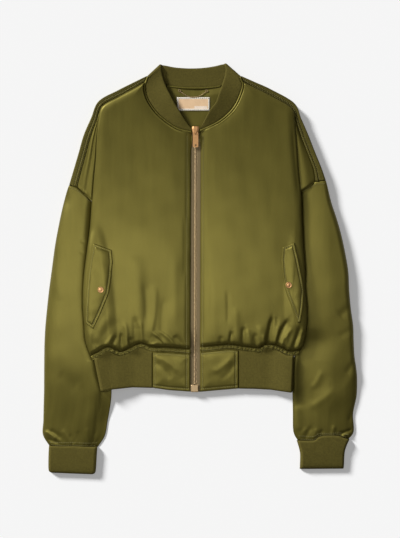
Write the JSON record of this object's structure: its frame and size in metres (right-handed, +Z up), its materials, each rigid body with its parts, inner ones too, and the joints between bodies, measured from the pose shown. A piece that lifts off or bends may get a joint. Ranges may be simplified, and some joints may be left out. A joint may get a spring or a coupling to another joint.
{
  "type": "bomber jacket",
  "caption": "Cropped, oversized bomber jacket in lightly padded olive satin with rib-knit collar, cuffs and hem, zipped up and laid flat on its back.",
  "frame": {"origin": "on the floor under the middle of the jacket's outline", "axes": "+X towards the picture's right, +Y from hem to neck, +Z up from the floor, out of the fronts"},
  "size_m": [0.5966, 0.7788, 0.0373],
  "materials": {
    "back": "olive satin, light sheen",
    "front_left": "olive satin, light sheen",
    "front_right": "olive satin, light sheen",
    "shoulder_strip_left": "olive satin, light sheen",
    "shoulder_strip_right": "olive satin, light sheen",
    "sleeve_left": "olive satin, light sheen",
    "sleeve_right": "olive satin, light sheen",
    "cuff_left": "matte rib knit",
    "cuff_right": "matte rib knit",
    "hem_rib": "matte rib knit",
    "hem_tab_left": "olive satin, light sheen",
    "hem_tab_right": "olive satin, light sheen",
    "collar": "matte rib knit",
    "neck_binding": "olive satin, light sheen",
    "neck_piping_left": "olive satin, light sheen",
    "neck_piping_right": "olive satin, light sheen",
    "pocket_flap_left": "olive satin, light sheen",
    "pocket_flap_right": "olive satin, light sheen",
    "snap_left": "polished, rose gold",
    "snap_right": "polished, rose gold",
    "zip_tape_left": "woven tape",
    "zip_tape_right": "woven tape",
    "zip_chain": "satin",
    "zip_box": "satin",
    "zip_slider": "polished, rose gold",
    "pull_tab": "polished, rose gold",
    "neck_label": "woven label",
    "hanger_chain": "satin",
    "hanger_ring_left": "satin",
    "hanger_ring_right": "satin"
  },
  "bodies": {
    "jacket": {"back": "back", "front_left": "front_left", "front_right": "front_right", "shoulder_strip_left": "shoulder_strip_left", "shoulder_strip_right": "shoulder_strip_right", "sleeve_left": "sleeve_left", "sleeve_right": "sleeve_right", "cuff_left": "cuff_left", "cuff_right": "cuff_right", "hem_rib": "hem_rib", "hem_tab_left": "hem_tab_left", "hem_tab_right": "hem_tab_right", "collar": "collar", "neck_binding": "neck_binding", "neck_piping_left": "neck_piping_left", "neck_piping_right": "neck_piping_right", "pocket_flap_left": "pocket_flap_left", "pocket_flap_right": "pocket_flap_right", "snap_left": "snap_left", "snap_right": "snap_right", "zip_tape_left": "zip_tape_left", "zip_tape_right": "zip_tape_right", "zip_chain": "zip_chain", "zip_box": "zip_box", "zip_slider": "zip_slider", "neck_label": "neck_label", "hanger_chain": "hanger_chain", "hanger_ring_left": "hanger_ring_left", "hanger_ring_right": "hanger_ring_right"},
    "pull_tab": {"pull_tab": "pull_tab"}
  },
  "joints": [
    {"name": "pull_tab_hinge", "type": "hinge", "parent": "jacket", "child": "pull_tab", "pos_m": [-0.0084, 0.2575, 0.0198], "axis": [-1, 0, 0], "range_deg": [0, 180]}
  ]
}
